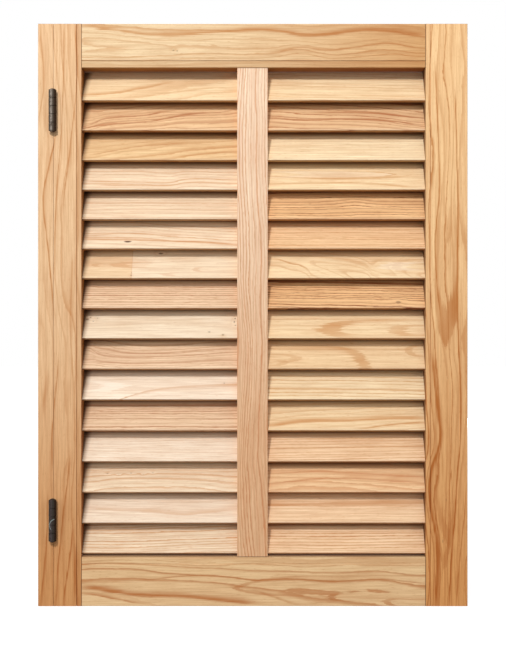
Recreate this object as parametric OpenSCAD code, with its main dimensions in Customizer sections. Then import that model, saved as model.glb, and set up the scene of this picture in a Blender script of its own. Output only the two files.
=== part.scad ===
// Louvred shutter leaf on its hanging strip, in millimetres.
// Two bays of fixed slats are housed between stiles, rails and a mullion,
// and the leaf swings on a pair of five-knuckle butt hinges.
// Origin: middle of the strip's outer face. X runs across to the closing edge,
// the front faces -Y and Z is up.

/* [Frame] */
// Height of the shutter
panel_h = 610; // [570:5:680]
// Thickness of the strip, stiles, rails and mullion
frame_t = 27; // [26:0.5:40]
// Width of the fixed hanging strip
strip_w = 15.9; // [14:0.1:30]
// Gap between the hanging strip and the leaf
seam_gap = 0.3; // [0.2:0.1:1]
// Width of the hinge stile
hinge_stile_w = 29.3; // [29:0.1:60]
// Width of the closing stile
closing_stile_w = 44; // [30:1:70]
// Height of the top rail
top_rail_h = 46; // [40:1:60]
// Height of the bottom rail
bottom_rail_h = 51.6; // [42:0.2:66]
// Width of the mullion between the bays
mullion_w = 32; // [26:1:60]
// Clear width of each bay, with the mullion in the middle
bay_w = 164.25; // [100:0.25:260]
// How far the mullion stands off the middle, to the closing side
mullion_shift = -1.1; // [-5:0.1:5]
// Rounding of the long arrises of the frame pieces
arris_r = 0.5; // [0.3:0.1:1.5]
// Rounding of the arrises beside the seam
seam_r = 0.15; // [0.1:0.05:0.5]

/* [Beads] */
// Width of the bead along the inner edge of a stile
stile_bead_w = 4.6; // [4:0.1:10]
// Width of the bead along the inner edge of a rail
rail_bead_w = 6.8; // [4:0.1:12]
// Width of the quirk that sets a bead off
quirk_w = 0.8; // [0.5:0.1:1.5]
// Depth of the quirk
quirk_d = 0.8; // [0.4:0.1:2]
// Depth of the fainter quirk on the bottom rail
foot_quirk_d = 0.3; // [0.2:0.1:1]

/* [Slats] */
// Rows of slats in each bay
slat_rows = 16; // [13:1:18]
// Width of a slat, edge to edge
slat_w = 37.4; // [34:0.1:42]
// Thickness of a slat
slat_t = 4.2; // [3.4:0.1:6]
// Lean of the slats from upright, lower edge forward
slat_tilt = 28; // [20:1:36]
// Rounding of a slat's arrises
slat_r = 0.8; // [0.4:0.1:1.4]
// Gap between the top slats and the top rail
slat_top_gap = 0.35; // [0.2:0.05:2]
// Gap between the bottom slats and the bottom rail
slat_foot_gap = 1.4; // [0.2:0.1:3]
// How far the middle rows stand above an even spacing
slat_creep = 3.8; // [0:0.1:5]
// Depth of the slat housings in the stiles and the mullion
housing_d = 6; // [4:0.5:8]
// Clearance of a slat in its housing, all round
housing_fit = 0.15; // [0.1:0.05:0.4]

/* [Hinges] */
// Drop from the shutter's top to the middle of the upper hinge
upper_hinge_drop = 91.4; // [75:0.2:130]
// Rise from the shutter's bottom to the middle of the lower hinge
lower_hinge_rise = 90.6; // [80:0.2:130]
// Length of the five-knuckle barrel
barrel_len = 43; // [38:1:60]
// Outside diameter of the knuckles
knuckle_d = 8; // [7:0.5:10]
// Easing of the knuckle rims
knuckle_ease = 0.35; // [0.2:0.05:0.8]
// Gap between neighbouring knuckles
knuckle_gap = 0.2; // [0.2:0.1:0.8]
// Room between the knuckles and what swings past them
knuckle_room = 0.3; // [0.3:0.1:1]
// Diameter of the hinge pin
pin_d = 4; // [3:0.5:5]
// Running clearance round the pin, on the radius
pin_fit = 0.05; // [0.02:0.01:0.1]
// Diameter of the pin's domed tips
tip_d = 6.6; // [5.5:0.1:6.8]
// Height of the domed tips
tip_h = 1.5; // [0.8:0.1:2.5]
// Thickness of the hinge plates
plate_t = 1.7; // [1.6:0.1:2.5]
// Depth of the hinge plates, from the front face
plate_d = 22; // [16:0.5:24]
// Clearance of a plate in its gain
gain_fit = 0.1; // [0.05:0.05:0.3]

/* [Hinge screws] */
// Distance between the two screws of a plate
screw_spacing = 26; // [16:1:28]
// Diameter of a screw head
screw_head_d = 6; // [5:0.1:6]
// Diameter of a screw shank
screw_shank_d = 3; // [2.8:0.1:3.5]
// Length of a screw
screw_len = 11; // [8:0.5:12]
// Width of the driver slot
screw_slot_w = 0.9; // [0.6:0.1:1.2]
// Depth of the driver slot
screw_slot_d = 0.7; // [0.4:0.1:1]
// Clearance round a screw
screw_fit = 0.05; // [0.03:0.01:0.1]

/* [Fixing holes] */
// Distance between the strip's two fixing holes
fixing_spacing = 300; // [120:5:310]
// Diameter of a fixing hole
fixing_d = 4.5; // [3.5:0.1:6]
// Diameter of its countersink
fixing_sink_d = 9; // [7:0.5:11]

/* [Dowels] */
// Diameter of the dowels
dowel_d = 8; // [6:0.5:10]
// Length of the dowels
dowel_len = 40; // [24:1:44]
// Distance between the two dowels at a rail's end
dowel_spacing = 24; // [16:1:26]
// Chamfer on the dowel ends
dowel_ease = 0.8; // [0.3:0.1:1.5]
// Clearance round a dowel
dowel_fit = 0.05; // [0.03:0.01:0.15]
// Glue room past each dowel end
dowel_glue = 1; // [0.5:0.5:2]

/* [Hidden] */
$fn = 48;
pine_honey = "#e6bd88";
pine_pale = "#f0d2a6";
pine_pink = "#ecc9a4";
pine_amber = "#dba868";
bronze = "#5c5044";
brass = "#b08d57";
beech = "#d8b58a";
cut = 1;
knuckles = 5;
frame_knuckles = [0, 2, 4];
leaf_knuckles = [1, 3];
frame_side = -1;
leaf_side = 1;

leaf_x = strip_w + seam_gap;
left_bay_x = leaf_x + hinge_stile_w;
left_bay_w = bay_w + mullion_shift;
right_bay_w = bay_w - mullion_shift;
mullion_x = left_bay_x + left_bay_w;
right_bay_x = mullion_x + mullion_w;
closing_x = right_bay_x + right_bay_w;
rail_len = closing_x - left_bay_x;
front_y = -frame_t / 2;
top_z = panel_h / 2;
bottom_z = -panel_h / 2;
opening_top_z = top_z - top_rail_h;
opening_bottom_z = bottom_z + bottom_rail_h;
opening_h = opening_top_z - opening_bottom_z;

slat_face_rise = slat_w * cos(slat_tilt);
slat_rise = slat_face_rise + slat_t * sin(slat_tilt);
slat_depth = slat_w * sin(slat_tilt) + slat_t * cos(slat_tilt);
slat_pitch = (opening_h - slat_rise - slat_top_gap - slat_foot_gap) / (slat_rows - 1);
slat_hold = housing_d - housing_fit;

pin_x = strip_w + seam_gap / 2;
pin_y = front_y - knuckle_d / 2 - knuckle_room;
plate_x = seam_gap / 2;
plate_reach = knuckle_d / 2 + knuckle_room + plate_d;
knuckle_h = (barrel_len - (knuckles - 1) * knuckle_gap) / knuckles;
upper_hinge_z = top_z - upper_hinge_drop;
lower_hinge_z = bottom_z + lower_hinge_rise;
screw_head_h = (screw_head_d - screw_shank_d) / 2;
screw_y = plate_reach - plate_d / 2;
dome_r = (tip_d * tip_d / 4 + tip_h * tip_h) / (2 * tip_h);

function creep(row) = slat_creep * pow(sin(180 * (row - 1) / (slat_rows - 1)), 2);
function slat_z(row) = opening_top_z - slat_top_gap - slat_face_rise - (row - 1) * slat_pitch + creep(row);
function slat_name(side, row) = str("slat_", side, row < 10 ? "_0" : "_", row);

// Rectangle from the origin with rounded corners
module eased_rect(size, r) {
    translate([r, 0]) square([size.x - 2 * r, size.y]);
    translate([0, r]) square([size.x, size.y - 2 * r]);
    for (x = [r, size.x - r], y = [r, size.y - r])
        translate([x, y]) circle(r);
}

// Upright frame piece
module upright(x, w, z, h) {
    translate([x, front_y, z])
        linear_extrude(h)
            eased_rect([w, frame_t], arris_r);
}

// Nearly sharp arrises for the half of an upright that lies along the seam
module seam_half(x, w) {
    translate([x, front_y, bottom_z])
        linear_extrude(panel_h)
            eased_rect([w, frame_t], seam_r);
}

// Profile in the YZ plane, run along X
module run_along_x(x, len) {
    translate([x, 0, 0])
        rotate([90, 0, 90])
            linear_extrude(len)
                children();
}

// Rail between the stiles
module crosspiece(z, h) {
    run_along_x(left_bay_x, rail_len)
        translate([front_y, z])
            eased_rect([frame_t, h], arris_r);
}

// Quirks beside the beads, cut in the front face
module stile_quirk(x) {
    translate([x, front_y - cut, bottom_z - cut])
        cube([quirk_w, quirk_d + cut, panel_h + 2 * cut]);
}

module rail_quirk(z, deep) {
    translate([left_bay_x - cut, front_y - cut, z])
        cube([rail_len + 2 * cut, deep + cut, quirk_w]);
}

// Slat, or with grow the room that a slat takes in its housing
module slat_bar(x, len, row, grow = 0) {
    run_along_x(x, len)
        translate([-slat_depth / 2, slat_z(row)])
            rotate(-slat_tilt)
                translate([-grow, -grow])
                    eased_rect([slat_t + 2 * grow, slat_w + 2 * grow], slat_r + grow);
}

// Housings for one end of every slat of a bay
module housings(x, len) {
    for (row = [1 : slat_rows])
        slat_bar(x, len, row, housing_fit);
}

// Dowel along Z, centred, with chamfered ends
module dowel() {
    r = dowel_d / 2;
    half = dowel_len / 2;
    rotate_extrude()
        polygon([
            [0, -half], [r - dowel_ease, -half], [r, dowel_ease - half],
            [r, half - dowel_ease], [r - dowel_ease, half], [0, half]
        ]);
}

module dowel_hole() {
    cylinder(d = dowel_d + 2 * dowel_fit, h = dowel_len + 2 * dowel_glue, center = true);
}

// Children at the two dowels of a rail's end
module at_rail_end(x, rail_mid_z) {
    for (side = [-1, 1])
        translate([x, 0, rail_mid_z + side * dowel_spacing / 2])
            rotate([0, 90, 0])
                children();
}

// Children at all four dowels along one edge of a stile
module at_stile_edge(x) {
    at_rail_end(x, top_z - top_rail_h / 2) children();
    at_rail_end(x, bottom_z + bottom_rail_h / 2) children();
}

// Children at the mullion's dowel in one rail
module at_mullion_end(z) {
    translate([mullion_x + mullion_w / 2, 0, z]) children();
}

// Hinge coordinates: the pin's middle, with X pointing into the chosen side's wood
module at_hinge(z, side) {
    translate([pin_x, pin_y, z])
        mirror([side == frame_side ? 1 : 0, 0, 0])
            children();
}

// Children at both hinges
module at_hinges(side) {
    at_hinge(upper_hinge_z, side) children();
    at_hinge(lower_hinge_z, side) children();
}

// Children at a plate's screws, with Z along the screw from the plate's open face
module at_screws() {
    for (side = [-1, 1])
        translate([plate_x, screw_y, side * screw_spacing / 2])
            rotate([0, 90, 0])
                children();
}

// Recess and pilot holes for one hinge plate
module hinge_gain() {
    translate([-cut, -cut, -barrel_len / 2 - gain_fit])
        cube([plate_x + plate_t + cut, plate_reach + gain_fit + cut, barrel_len + 2 * gain_fit]);
    at_screws()
        cylinder(d = screw_shank_d + 2 * screw_fit, h = screw_len + cut);
}

// One knuckle of the barrel with eased rims
module knuckle(place) {
    r = knuckle_d / 2;
    translate([0, 0, place * (knuckle_h + knuckle_gap) - barrel_len / 2])
        rotate_extrude()
            polygon([
                [0, 0], [r - knuckle_ease, 0], [r, knuckle_ease],
                [r, knuckle_h - knuckle_ease], [r - knuckle_ease, knuckle_h], [0, knuckle_h]
            ]);
}

// Room for a knuckle of the other half to turn in
module knuckle_notch(place) {
    translate([0, 0, place * (knuckle_h + knuckle_gap) - barrel_len / 2 - knuckle_gap])
        cylinder(d = knuckle_d + 2 * knuckle_room, h = knuckle_h + 2 * knuckle_gap);
}

// Plate with its own knuckles, notched for the other half's
module hinge_half(own, other) {
    difference() {
        union() {
            translate([plate_x, 0, -barrel_len / 2])
                cube([plate_t, plate_reach, barrel_len]);
            for (place = own)
                knuckle(place);
        }
        for (place = other)
            knuckle_notch(place);
        translate([0, 0, -barrel_len / 2 - cut])
            cylinder(d = pin_d + 2 * pin_fit, h = barrel_len + 2 * cut);
        at_screws() {
            cylinder(d = screw_shank_d + 2 * screw_fit, h = plate_t + cut);
            cylinder(d1 = screw_head_d + 2 * screw_fit, d2 = screw_shank_d, h = screw_head_h + screw_fit);
        }
    }
}

// Pin with a domed tip beyond each end of the barrel
module hinge_pin() {
    cylinder(d = pin_d, h = barrel_len, center = true);
    for (side = [0, 1])
        mirror([0, 0, side])
            translate([0, 0, barrel_len / 2])
                intersection() {
                    translate([0, 0, tip_h - dome_r]) sphere(dome_r);
                    cylinder(d = tip_d, h = tip_h);
                }
}

// Countersunk screw with a slotted head, its head at Z = 0
module screw() {
    difference() {
        union() {
            cylinder(d1 = screw_head_d, d2 = screw_shank_d, h = screw_head_h);
            cylinder(d = screw_shank_d, h = screw_len - screw_shank_d);
            translate([0, 0, screw_len - screw_shank_d])
                cylinder(d1 = screw_shank_d, d2 = 0, h = screw_shank_d);
        }
        translate([-screw_head_d / 2, -screw_slot_w / 2, -cut])
            cube([screw_head_d, screw_slot_w, screw_slot_d + cut]);
    }
}

// Countersunk hole through the strip, sunk from the seam
module fixing_hole(z) {
    sink_h = (fixing_sink_d - fixing_d) / 2;
    translate([-cut, 0, z])
        rotate([0, 90, 0])
            cylinder(d = fixing_d, h = strip_w + 2 * cut);
    translate([strip_w - sink_h, 0, z])
        rotate([0, 90, 0])
            cylinder(d1 = fixing_d, d2 = fixing_sink_d, h = sink_h);
}

module hanging_strip() {
    color(pine_honey)
        difference() {
            union() {
                upright(0, strip_w, bottom_z, panel_h);
                seam_half(strip_w / 2, strip_w / 2);
            }
            at_hinges(frame_side) hinge_gain();
            for (side = [-1, 1])
                fixing_hole(side * fixing_spacing / 2);
        }
}

module hinge_stile() {
    color(pine_honey)
        difference() {
            union() {
                upright(leaf_x, hinge_stile_w, bottom_z, panel_h);
                seam_half(leaf_x, hinge_stile_w / 2);
            }
            stile_quirk(left_bay_x - stile_bead_w - quirk_w);
            housings(left_bay_x - housing_d, housing_d + cut);
            at_stile_edge(left_bay_x) dowel_hole();
            at_hinges(leaf_side) hinge_gain();
        }
}

module closing_stile() {
    color(pine_amber)
        difference() {
            upright(closing_x, closing_stile_w, bottom_z, panel_h);
            stile_quirk(closing_x + stile_bead_w);
            housings(closing_x - cut, housing_d + cut);
            at_stile_edge(closing_x) dowel_hole();
        }
}

module top_rail() {
    color(pine_honey)
        difference() {
            crosspiece(opening_top_z, top_rail_h);
            rail_quirk(opening_top_z + rail_bead_w, quirk_d);
            at_rail_end(left_bay_x, top_z - top_rail_h / 2) dowel_hole();
            at_rail_end(closing_x, top_z - top_rail_h / 2) dowel_hole();
            at_mullion_end(opening_top_z) dowel_hole();
        }
}

module bottom_rail() {
    color(pine_amber)
        difference() {
            crosspiece(bottom_z, bottom_rail_h);
            rail_quirk(opening_bottom_z - rail_bead_w - quirk_w, foot_quirk_d);
            at_rail_end(left_bay_x, bottom_z + bottom_rail_h / 2) dowel_hole();
            at_rail_end(closing_x, bottom_z + bottom_rail_h / 2) dowel_hole();
            at_mullion_end(opening_bottom_z) dowel_hole();
        }
}

module mullion() {
    color(pine_pink)
        difference() {
            upright(mullion_x, mullion_w, opening_bottom_z, opening_h);
            housings(mullion_x - cut, housing_d + cut);
            housings(right_bay_x - housing_d, housing_d + cut);
            at_mullion_end(opening_top_z) dowel_hole();
            at_mullion_end(opening_bottom_z) dowel_hole();
        }
}

module slat_left(row) {
    color(pine_pale)
        slat_bar(left_bay_x - slat_hold, left_bay_w + 2 * slat_hold, row);
}

module slat_right(row) {
    color(pine_honey)
        slat_bar(right_bay_x - slat_hold, right_bay_w + 2 * slat_hold, row);
}

module frame_plate(z) {
    color(bronze)
        at_hinge(z, frame_side) hinge_half(frame_knuckles, leaf_knuckles);
}

module leaf_plate(z) {
    color(bronze)
        at_hinge(z, leaf_side) hinge_half(leaf_knuckles, frame_knuckles);
}

module pin(z) {
    color(bronze)
        at_hinge(z, leaf_side) hinge_pin();
}

module frame_hinge_screws() {
    color(brass)
        at_hinges(frame_side) at_screws() screw();
}

module leaf_hinge_screws() {
    color(brass)
        at_hinges(leaf_side) at_screws() screw();
}

module corner_dowels() {
    color(beech) {
        at_stile_edge(left_bay_x) dowel();
        at_stile_edge(closing_x) dowel();
    }
}

module mullion_dowels() {
    color(beech) {
        at_mullion_end(opening_top_z) dowel();
        at_mullion_end(opening_bottom_z) dowel();
    }
}

hanging_strip();
hinge_stile();
closing_stile();
top_rail();
bottom_rail();
mullion();
for (row = [1 : slat_rows]) {
    slat_left(row);
    slat_right(row);
}
frame_plate(upper_hinge_z);  // upper_hinge_frame_plate
leaf_plate(upper_hinge_z);  // upper_hinge_leaf_plate
pin(upper_hinge_z);  // upper_hinge_pin
frame_plate(lower_hinge_z);  // lower_hinge_frame_plate
leaf_plate(lower_hinge_z);  // lower_hinge_leaf_plate
pin(lower_hinge_z);  // lower_hinge_pin
frame_hinge_screws();
leaf_hinge_screws();
corner_dowels();
mullion_dowels();
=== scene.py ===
import math
import bpy
from mathutils import Matrix, Vector


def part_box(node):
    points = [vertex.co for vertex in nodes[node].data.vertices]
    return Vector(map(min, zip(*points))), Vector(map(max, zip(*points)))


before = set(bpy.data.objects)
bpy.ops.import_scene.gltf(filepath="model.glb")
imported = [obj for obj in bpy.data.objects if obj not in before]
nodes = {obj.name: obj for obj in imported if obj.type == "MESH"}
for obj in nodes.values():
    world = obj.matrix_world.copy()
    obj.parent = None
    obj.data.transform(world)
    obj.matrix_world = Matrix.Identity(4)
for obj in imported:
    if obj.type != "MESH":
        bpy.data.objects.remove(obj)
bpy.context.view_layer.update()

scene = bpy.context.scene
scene.view_settings.view_transform = "Standard"

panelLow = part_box("hanging_strip")[0]
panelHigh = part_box("closing_stile")[1]
panelMid = (panelLow + panelHigh) / 2
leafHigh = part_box("hinge_stile")[1]
mm = 0.001
print("frame loaded:", len(nodes), "pieces")


# small helpers for wiring node trees
def freshTree(owner):
    owner.use_nodes = True
    owner.node_tree.nodes.clear()
    return owner.node_tree


def feed(tree, socket, value):
    if isinstance(value, bpy.types.NodeSocket):
        tree.links.new(value, socket)
    else:
        socket.default_value = value


def calc(tree, operation, a, b=0.0, c=0.0):
    node = tree.nodes.new("ShaderNodeMath")
    node.operation = operation
    for socket, value in zip(node.inputs, (a, b, c)):
        feed(tree, socket, value)
    return node.outputs[0]


# 0 at the start, 1 at the end, and smooth between them
def step(tree, value, start, end):
    node = tree.nodes.new("ShaderNodeMapRange")
    node.interpolation_type = "SMOOTHSTEP"
    feed(tree, node.inputs["Value"], value)
    feed(tree, node.inputs["From Min"], start)
    feed(tree, node.inputs["From Max"], end)
    return node.outputs[0]


# the same, with its start and end counted from another place
def stepFrom(tree, value, at, span):
    return step(tree, value, at + span[0], at + span[1])


def mixColour(tree, share, a, b, how="MIX"):
    node = tree.nodes.new("ShaderNodeMix")
    node.data_type = "RGBA"
    node.blend_type = how
    feed(tree, node.inputs[0], share)
    feed(tree, node.inputs[6], a)
    feed(tree, node.inputs[7], b)
    return node.outputs[2]


def noise(tree, place, detail=2.0, rough=0.5):
    node = tree.nodes.new("ShaderNodeTexNoise")
    feed(tree, node.inputs["Vector"], place)
    node.inputs["Scale"].default_value = 1
    node.inputs["Detail"].default_value = detail
    node.inputs["Roughness"].default_value = rough
    return node


# noise runs from 0 to 1; this puts its middle at 0
def centred(tree, value):
    return calc(tree, "SUBTRACT", value, 0.5)


# e to the power of minus value
def fading(tree, value):
    return calc(tree, "POWER", 2.718, calc(tree, "MULTIPLY", value, -1))


# 1 in the middle, fading away to both sides
def bell(tree, off):
    return fading(tree, calc(tree, "MULTIPLY", off, off))


# how far off a point lies, from two lengths square to each other
def farOff(tree, a, b):
    return calc(tree, "SQRT", calc(tree, "MULTIPLY_ADD", a, a, calc(tree, "MULTIPLY", b, b)))


# place stretched by one length along the board and one across it, moved on by the seed
def stretched(tree, place, seed, along, across):
    scaled = tree.nodes.new("ShaderNodeVectorMath")
    scaled.operation = "MULTIPLY"
    feed(tree, scaled.inputs[0], place)
    scaled.inputs[1].default_value = (1 / along, 1 / across, 1 / across)
    moved = tree.nodes.new("ShaderNodeVectorMath")
    moved.operation = "ADD"
    tree.links.new(scaled.outputs[0], moved.inputs[0])
    tree.links.new(seed, moved.inputs[1])
    return moved.outputs[0]


# the three numbers of a vector or colour
def partsOf(tree, vector):
    split = tree.nodes.new("ShaderNodeSeparateXYZ")
    tree.links.new(vector, split.inputs[0])
    return split.outputs


# colour made darker or lighter by one number
def shaded(tree, colour, amount):
    grey = tree.nodes.new("ShaderNodeCombineXYZ")
    for socket in grey.inputs:
        tree.links.new(amount, socket)
    return mixColour(tree, 1.0, colour, grey.outputs[0], "MULTIPLY")


# 1 where the eye looks straight, or by way of metal or glass
def seenDirectly(tree):
    rays = tree.nodes.new("ShaderNodeLightPath").outputs
    seen = calc(tree, "MAXIMUM", rays["Is Camera Ray"], rays["Is Glossy Ray"])
    return calc(tree, "MAXIMUM", seen, rays["Is Transmission Ray"])


# where the picture is taken from, how wide it sees at the shutter's front,
# and how far its middle lies below the shutter's; in metres
view = dict(distance=1.1, seenWidth=0.530, sideStep=0.0002, rise=0.0145, middleDrop=0.0105, clip=30)


def placeCamera():
    lens = bpy.data.cameras.new("viewCamera")
    lens.sensor_fit = "HORIZONTAL"
    lens.lens = lens.sensor_width * view["distance"] / view["seenWidth"]
    lens.shift_y = -(view["rise"] + view["middleDrop"]) / view["seenWidth"]
    lens.clip_end = view["clip"]
    camera = bpy.data.objects.new("viewCamera", lens)
    camera.location = (panelMid.x + view["sideStep"], panelLow.y - view["distance"],
                       panelMid.z + view["rise"])
    camera.rotation_euler = (math.radians(90), 0, 0)  # level, facing the front
    scene.collection.objects.link(camera)
    scene.camera = camera


placeCamera()


# one key lamp high on the left in front, a low soft one behind for the back, and a room lighter in front;
# turn: how near the shutter's plane the room starts to change
light = dict(keyAt=(-0.47, -1.756, 1.304), keySize=0.3, keyPower=30.8,
             backAt=(0.5, 1.8, -0.245), backWide=1.6, backTall=0.1, backPower=11,
             front=0.76, behind=0.18, turn=0.3, roomTint=(0.93, 0.97, 1.0))


def hangLamp(name, shape, power, at):
    target = Vector((panelMid.x, panelLow.y, panelMid.z))
    lamp = bpy.data.lights.new(name, "AREA")
    lamp.shape = shape
    lamp.energy = power
    hung = bpy.data.objects.new(name, lamp)
    hung.location = target + Vector(at)
    hung.rotation_euler = (target - hung.location).to_track_quat("-Z", "Y").to_euler()
    scene.collection.objects.link(hung)
    return lamp


def hangLights():
    key = hangLamp("keyLamp", "DISK", light["keyPower"], light["keyAt"])
    key.size = light["keySize"]
    back = hangLamp("backLamp", "RECTANGLE", light["backPower"], light["backAt"])
    back.size = light["backWide"]
    back.size_y = light["backTall"]


def paintRoom():
    world = bpy.data.worlds.new("room")
    scene.world = world
    tree = freshTree(world)
    room = tree.nodes.new("ShaderNodeBackground")
    room.inputs["Color"].default_value = (*light["roomTint"], 1)
    ways = partsOf(tree, tree.nodes.new("ShaderNodeTexCoord").outputs["Generated"])
    facing = step(tree, ways[1], light["turn"], -light["turn"])
    level = calc(tree, "MULTIPLY_ADD", facing, light["front"] - light["behind"], light["behind"])
    tree.links.new(level, room.inputs["Strength"])
    paper = tree.nodes.new("ShaderNodeBackground")
    paper.inputs["Color"].default_value = (1, 1, 1, 1)
    pick = tree.nodes.new("ShaderNodeMixShader")
    out = tree.nodes.new("ShaderNodeOutputWorld")
    tree.links.new(seenDirectly(tree), pick.inputs[0])
    tree.links.new(room.outputs[0], pick.inputs[1])
    tree.links.new(paper.outputs[0], pick.inputs[2])
    tree.links.new(pick.outputs[0], out.inputs["Surface"])


hangLights()
paintRoom()


# pale floor under the shutter that keeps its shadow
floorLook = dict(reach=4.0, gap=0.0005, paper=(0.84, 0.84, 0.84), lit=(0.45, 0.45, 0.45),
                 bounce=(0.2, 0.2, 0.2))


def layFloor():
    half = floorLook["reach"]
    x, y = panelMid.x, panelMid.y
    z = panelLow.z - floorLook["gap"]
    ways = ((-1, -1), (1, -1), (1, 1), (-1, 1))
    corners = [(x + half * aside, y + half * back, z) for aside, back in ways]
    mesh = bpy.data.meshes.new("floor")
    mesh.from_pydata(corners, [], [(0, 1, 2, 3)])
    floor = bpy.data.objects.new("floor", mesh)
    scene.collection.objects.link(floor)
    material = bpy.data.materials.new("floorPaper")
    tree = freshTree(material)
    lit = tree.nodes.new("ShaderNodeBsdfDiffuse")
    lit.inputs["Color"].default_value = (*floorLook["lit"], 1)
    glow = tree.nodes.new("ShaderNodeEmission")
    glow.inputs["Color"].default_value = (*floorLook["paper"], 1)
    sheet = tree.nodes.new("ShaderNodeAddShader")
    dull = tree.nodes.new("ShaderNodeBsdfDiffuse")
    dull.inputs["Color"].default_value = (*floorLook["bounce"], 1)
    pick = tree.nodes.new("ShaderNodeMixShader")
    out = tree.nodes.new("ShaderNodeOutputMaterial")
    tree.links.new(lit.outputs[0], sheet.inputs[0])
    tree.links.new(glow.outputs[0], sheet.inputs[1])
    tree.links.new(seenDirectly(tree), pick.inputs[0])
    tree.links.new(dull.outputs[0], pick.inputs[1])
    tree.links.new(sheet.outputs[0], pick.inputs[2])
    tree.links.new(pick.outputs[0], out.inputs["Surface"])
    mesh.materials.append(material)


layFloor()
print("camera, lamps and floor set")


# colour written as it looks on screen, turned into light
def paint(code):
    parts = [int(code[i:i + 2], 16) / 255 for i in (0, 2, 4)]
    return tuple(p / 12.92 if p <= 0.04045 else ((p + 0.055) / 1.055) ** 2.4 for p in parts) + (1,)


# the pine's tones: pale early wood, then the late wood of the ring lines
tones = dict(
    cream=("f2dbc2", "d6a67e"),
    ivory=("eed7ba", "d0a67a"),
    blush=("edd3b3", "cf9669"),
    pink=("fadcbd", "d68f5e"),
    straw=("efd0a5", "c98c54"),
    butter=("f2d8b0", "ca9058"),
    oat=("ecca9e", "c4874f"),
    honey=("edc396", "c4824a"),
    apricot=("f0caa2", "c4844e"),
    gold=("f7ca94", "c27a3c"),
    rose=("e9c6a2", "b57a54"),
    russet=("f0c997", "c07a45"),
    ochre=("e6c191", "bd7e46"),
    tan=("e4bb8e", "ae6c42"),
    amber=("ecbc88", "935024"),
    copper=("eec698", "c07440"),
    beech=("d8b58a", "b88c5e"),
)
falloffShade = "e6c8a6"  # painted shade: what a board's tone is multiplied by towards its less lit end
dust = "7a695a"  # and as painted shade in the gaps behind the slat above, at the slats' ends and on two inner edges
shadeBrown = "be9559"  # and as browner painted shade on two inner edges and in the grooves beside the beads, and on the beads
endGrain = "e4ccb0"  # and on the sawn ends of the stiles
brownLength = "faf0e2"  # and as painted shade on the slats' lower edges
underShadeTone = "e4c4a0"  # painted highlight on the slats' lower arrises
knotBrown = "5a3420"  # knots and specks
paleFigure = "fff0dc"  # pointed figures of paler wood
arrisHighlight = "f8e8d0"  # arrises rubbed pale
glueLine = "4a2a14"  # dark glue where boards meet

# one board, in mm. ring: ring width. heart: where the tree's heart lies from the board's middle, across and
# deep. lean: how it leans off in mm per 100 mm of length. wave and ripple: long and small bends of the lines.
# line: share of a ring that is late wood. dark: how dark it is. falloff: where painted shade starts and ends
# darkening and warming the board along its length, and how much. bands: broad streaks. drawn: long lines that
# wander. tongues: pointed figures. knots: spots. splice: a glued joint. jointAt: glue lines at its ends.
# arrisLitAt: painted highlight on the lower arris and painted shade on the lower edge. dustyAt: where painted
# shade behind the slat above starts and is full across a slat. endShadeAt: painted shadow at the slat's end,
# along it. shadedRecess: an inner edge, the colour of its painted shade and how much shows at the front.
# quirk:
# the groove beside the bead, how strong its painted shade is and how much browner the bead. endAt: where the
# sawn ends are
plainBoard = dict(tone="straw", ring=3.0, heart=(40, -30), lean=(0, 0), wave=5.0, ripple=1.2, line=0.5,
                  dark=0.7, seed=0, warm=None, bands=(), drawn=(), tongues=(), knots=(), splice=None,
                  jointAt=None, arrisLitAt=None, dustyAt=None, endShadeAt=None, shadedRecess=None, quirk=None,
                  endAt=None)


def board(**changes):
    return {**plainBoard, **changes}


# how pine grows. bend, shake, fray, fibre, dash, cloud and finger: each mark's length along and across the
# grain in mm. frayDeep: how far the ring lines fray, in mm. yearPace and yearSpread: how soon good and bad
# years change, and how much, in rings. lateTop and lateEnd: where in a ring late wood is full and stops.
# byYear and byFibre: how much late wood varies, and its least. The rest is how strongly each mark shows
growth = dict(bend=(150, 48), shake=(26, 6), fray=(8, 1.0), fibre=(40, 1.3), dash=(6, 0.5), cloud=(70, 15),
              finger=(90, 1.2), frayDeep=1.1, yearPace=0.35, yearSpread=1.6, lateTop=0.96, lateEnd=0.94,
              byYear=(0.75, 0.35), byFibre=(1.6, 0.25), dashEdge=(0.64, 0.75), cloudEdge=(0.45, 0.8),
              darkYears=0.14, cloudy=0.22, dashes=0.45, fibreContrast=(0.6, 0.9, 1.15), ridge=0.2)


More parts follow.
